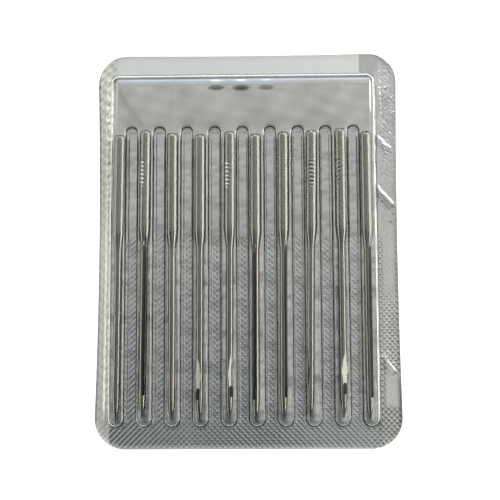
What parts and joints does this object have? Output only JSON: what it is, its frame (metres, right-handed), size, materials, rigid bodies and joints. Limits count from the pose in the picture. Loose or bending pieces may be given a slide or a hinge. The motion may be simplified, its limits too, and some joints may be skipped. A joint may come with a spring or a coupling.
{
  "type": "sewing machine needle pack",
  "caption": "Clear formed blister pack with a peelable foil back, holding loose round-shank lockstitch sewing machine needles side by side in channels under an empty chamber.",
  "frame": {"origin": "middle of the foil back, at the bottom of the pack's bounding box", "axes": "+Y along the needles from their points to their butts and the empty chamber, +X to the right seen from the clear side, +Z out of the clear side"},
  "size_m": [0.0404, 0.0532, 0.0022],
  "materials": {
    "clear_sheet": "polished",
    "foil": "satin",
    "needle_steel": "polished"
  },
  "bodies": {
    "pack": {"clear_tray": "clear_sheet", "foil_sealed_panel": "foil"},
    "flap": {"foil_peel_flap": "foil"},
    "needle_01": {"needle_01": "needle_steel"},
    "needle_02": {"needle_02": "needle_steel"},
    "needle_03": {"needle_03": "needle_steel"},
    "needle_04": {"needle_04": "needle_steel"},
    "needle_05": {"needle_05": "needle_steel"},
    "needle_06": {"needle_06": "needle_steel"},
    "needle_07": {"needle_07": "needle_steel"},
    "needle_08": {"needle_08": "needle_steel"},
    "needle_09": {"needle_09": "needle_steel"},
    "needle_10": {"needle_10": "needle_steel"}
  },
  "joints": [
    {"name": "flap_peel", "type": "hinge", "parent": "pack", "child": "flap", "pos_m": [0, 0.00203, 0], "axis": [-1, 0, 0], "range_deg": [0, 170]},
    {"name": "needle_01_slide", "type": "slide", "parent": "pack", "child": "needle_01", "axis": [0, 1, 0], "range_m": [0, 0.0075]},
    {"name": "needle_02_slide", "type": "slide", "parent": "pack", "child": "needle_02", "axis": [0, 1, 0], "range_m": [-0.0006, 0.0069]},
    {"name": "needle_03_slide", "type": "slide", "parent": "pack", "child": "needle_03", "axis": [0, 1, 0], "range_m": [-0.0002, 0.0073]},
    {"name": "needle_04_slide", "type": "slide", "parent": "pack", "child": "needle_04", "axis": [0, 1, 0], "range_m": [0, 0.0075]},
    {"name": "needle_05_slide", "type": "slide", "parent": "pack", "child": "needle_05", "axis": [0, 1, 0], "range_m": [-0.00035, 0.00715]},
    {"name": "needle_06_slide", "type": "slide", "parent": "pack", "child": "needle_06", "axis": [0, 1, 0], "range_m": [0, 0.0075]},
    {"name": "needle_07_slide", "type": "slide", "parent": "pack", "child": "needle_07", "axis": [0, 1, 0], "range_m": [-0.00025, 0.00725]},
    {"name": "needle_08_slide", "type": "slide", "parent": "pack", "child": "needle_08", "axis": [0, 1, 0], "range_m": [-0.00045, 0.00705]},
    {"name": "needle_09_slide", "type": "slide", "parent": "pack", "child": "needle_09", "axis": [0, 1, 0], "range_m": [-0.00065, 0.00685]},
    {"name": "needle_10_slide", "type": "slide", "parent": "pack", "child": "needle_10", "axis": [0, 1, 0], "range_m": [-0.0002, 0.0073]}
  ]
}
